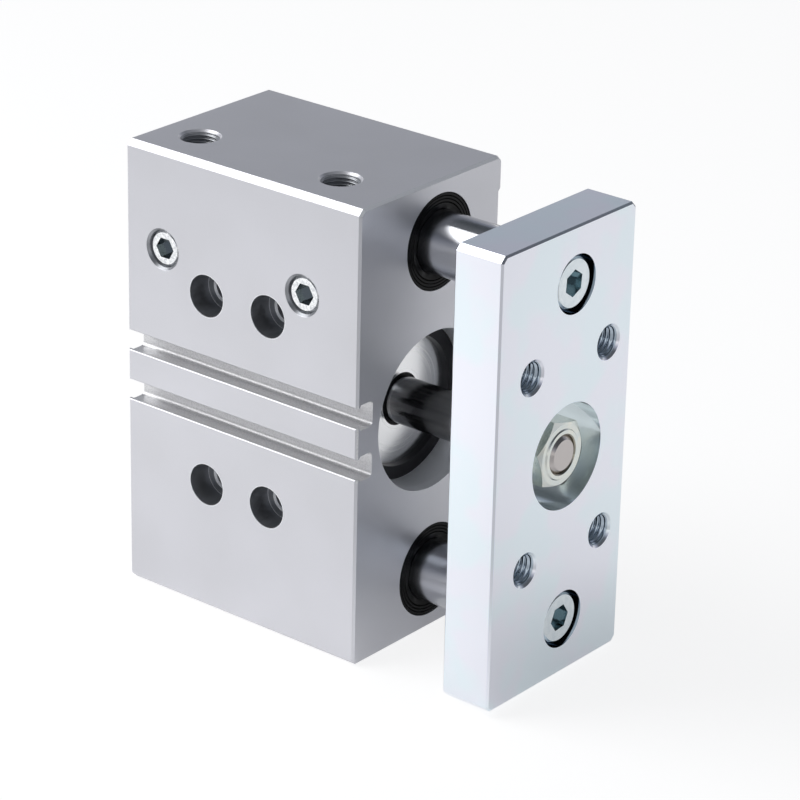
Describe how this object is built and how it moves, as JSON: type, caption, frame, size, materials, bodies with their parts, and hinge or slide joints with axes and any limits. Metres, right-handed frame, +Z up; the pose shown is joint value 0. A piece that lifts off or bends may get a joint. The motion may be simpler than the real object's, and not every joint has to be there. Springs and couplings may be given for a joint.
{
  "type": "guided pneumatic cylinder",
  "caption": "Compact air cylinder with parallel guide rods in one extruded body and a yoke plate that carries the load",
  "frame": {"origin": "centre of the body's bottom face", "axes": "+X the way the plate moves out, +Z up along the row of rods, -Y the front face with the sensor slots"},
  "size_m": [0.1167, 0.054, 0.12],
  "materials": {
    "body_aluminium": "clear anodised extrusion, satin",
    "plate_steel": "nickel plated, satin",
    "rod_chrome": "hard chromed and ground",
    "fastener_steel": "zinc plated, bright",
    "circlip_steel": "phosphated spring steel",
    "seal_rubber": "moulded, matt",
    "bearing_steel": "ground bearing steel",
    "cage_resin": "moulded resin",
    "bush_bronze": "sintered bronze",
    "cap_aluminium": "turned and anodised",
    "piston_aluminium": "turned",
    "magnet": "bonded magnet"
  },
  "bodies": {
    "cylinder_body": {"housing": "body_aluminium", "port_plugs": "fastener_steel", "front_cap": "cap_aluminium", "rod_bush": "bush_bronze", "rod_seal": "seal_rubber", "front_cap_oring": "seal_rubber", "front_circlip": "circlip_steel", "rear_cap": "cap_aluminium", "rear_cap_oring": "seal_rubber", "rear_circlip": "circlip_steel", "upper_guide_seal": "seal_rubber", "upper_bushing_shell": "bearing_steel", "upper_ball_cage": "cage_resin", "upper_ball_rows": "bearing_steel", "lower_guide_seal": "seal_rubber", "lower_bushing_shell": "bearing_steel", "lower_ball_cage": "cage_resin", "lower_ball_rows": "bearing_steel"},
    "sliding_unit": {"yoke_plate": "plate_steel", "guide_screws": "fastener_steel", "piston_rod": "rod_chrome", "rod_nut": "fastener_steel", "piston": "piston_aluminium", "piston_nut": "fastener_steel", "piston_seal_front": "seal_rubber", "piston_seal_rear": "seal_rubber", "piston_magnet": "magnet", "piston_wear_ring": "cage_resin", "cushion_front": "seal_rubber", "cushion_rear": "seal_rubber", "upper_guide_rod": "rod_chrome", "lower_guide_rod": "rod_chrome"}
  },
  "joints": [
    {"name": "plate_slide", "type": "slide", "parent": "cylinder_body", "child": "sliding_unit", "axis": [1, 0, 0], "range_m": [-0.025, 0]}
  ]
}
